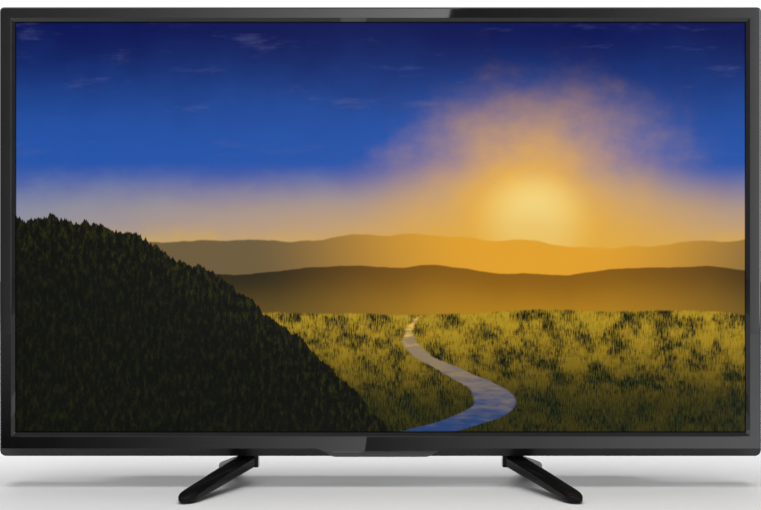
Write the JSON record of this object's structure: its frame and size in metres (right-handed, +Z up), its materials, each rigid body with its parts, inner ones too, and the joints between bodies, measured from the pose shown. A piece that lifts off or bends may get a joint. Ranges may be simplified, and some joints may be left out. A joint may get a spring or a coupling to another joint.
{
  "type": "flat screen television",
  "caption": "Flat screen television with a narrow gloss bezel, a centre lip, a raised rear housing with socket bays and vents, and two splayed feet.",
  "frame": {"origin": "on the floor, at the middle of the footprint: midway between the two feet and between their front and rear tips", "axes": "+X to the viewer's right along the screen's width, +Y from the screen to the back, +Z up"},
  "size_m": [0.726, 0.2, 0.458],
  "materials": {
    "gloss_black": "polished piano black",
    "matte_black": "fine spark-eroded grain",
    "key_plastic": "satin",
    "screen_glass": "smooth polariser film over a lit panel",
    "white_plastic": "matt white",
    "clear_acrylic": "clear moulded",
    "sheet_steel": "pressed galvanised sheet",
    "plated_steel": "nickel plated",
    "circuit_board": "solder mask",
    "aluminium": "extruded",
    "wound_core": "taped winding on a ferrite core",
    "film_amber": "polyimide film",
    "wire_sleeve": "insulated wire bundle",
    "switch_plastic": "moulded",
    "speaker_paper": "coated paper",
    "rubber": "matt"
  },
  "bodies": {
    "cabinet": {"audio_sockets": "matte_black", "backlight_pan": "sheet_steel", "board_headers": "matte_black", "board_screws": "plated_steel", "board_standoffs": "sheet_steel", "capacitors": "aluminium", "cell_gasket": "rubber", "diffuser_plate": "white_plastic", "diffuser_posts": "white_plastic", "diffuser_sheet": "white_plastic", "display_cable": "film_amber", "flex_films": "film_amber", "foot_left": "gloss_black", "foot_pads": "rubber", "foot_right": "gloss_black", "foot_screws": "plated_steel", "front_bezel": "gloss_black", "hdmi_sockets": "plated_steel", "heat_sink": "aluminium", "ir_board": "circuit_board", "ir_window": "clear_acrylic", "key_board": "circuit_board", "key_guide": "key_plastic", "key_switches": "switch_plastic", "lcd_cell": "screen_glass", "led_lenses": "clear_acrylic", "led_strips": "circuit_board", "main_board": "circuit_board", "mains_inlet": "matte_black", "middle_frame": "white_plastic", "power_board": "circuit_board", "power_heat_sink": "aluminium", "prism_sheet": "white_plastic", "processor": "matte_black", "rear_cover": "matte_black", "rear_cover_screws": "plated_steel", "reflector_sheet": "white_plastic", "source_board": "circuit_board", "speaker_box_left": "matte_black", "speaker_box_right": "matte_black", "speaker_cone_left": "speaker_paper", "speaker_cone_right": "speaker_paper", "speaker_grommets": "rubber", "speaker_screws": "plated_steel", "stand_brackets": "sheet_steel", "timing_board": "circuit_board", "timing_shield": "sheet_steel", "transformers": "wound_core", "tuner": "plated_steel", "usb_socket": "plated_steel", "vesa_standoffs": "sheet_steel", "vga_socket": "matte_black", "wire_leads": "wire_sleeve"},
    "key_volume_down": {"key_volume_down": "key_plastic"},
    "key_volume_up": {"key_volume_up": "key_plastic"},
    "key_channel_down": {"key_channel_down": "key_plastic"},
    "key_channel_up": {"key_channel_up": "key_plastic"},
    "key_menu": {"key_menu": "key_plastic"},
    "key_source": {"key_source": "key_plastic"},
    "key_power": {"key_power": "key_plastic"}
  },
  "joints": [
    {"name": "key_volume_down_press", "type": "slide", "parent": "cabinet", "child": "key_volume_down", "axis": [0, -1, 0], "range_m": [0, 0.0005], "stiffness_N_per_m": 600},
    {"name": "key_volume_up_press", "type": "slide", "parent": "cabinet", "child": "key_volume_up", "axis": [0, -1, 0], "range_m": [0, 0.0005], "stiffness_N_per_m": 600},
    {"name": "key_channel_down_press", "type": "slide", "parent": "cabinet", "child": "key_channel_down", "axis": [0, -1, 0], "range_m": [0, 0.0005], "stiffness_N_per_m": 600},
    {"name": "key_channel_up_press", "type": "slide", "parent": "cabinet", "child": "key_channel_up", "axis": [0, -1, 0], "range_m": [0, 0.0005], "stiffness_N_per_m": 600},
    {"name": "key_menu_press", "type": "slide", "parent": "cabinet", "child": "key_menu", "axis": [0, -1, 0], "range_m": [0, 0.0005], "stiffness_N_per_m": 600},
    {"name": "key_source_press", "type": "slide", "parent": "cabinet", "child": "key_source", "axis": [0, -1, 0], "range_m": [0, 0.0005], "stiffness_N_per_m": 600},
    {"name": "key_power_press", "type": "slide", "parent": "cabinet", "child": "key_power", "axis": [0, -1, 0], "range_m": [0, 0.0005], "stiffness_N_per_m": 600}
  ]
}
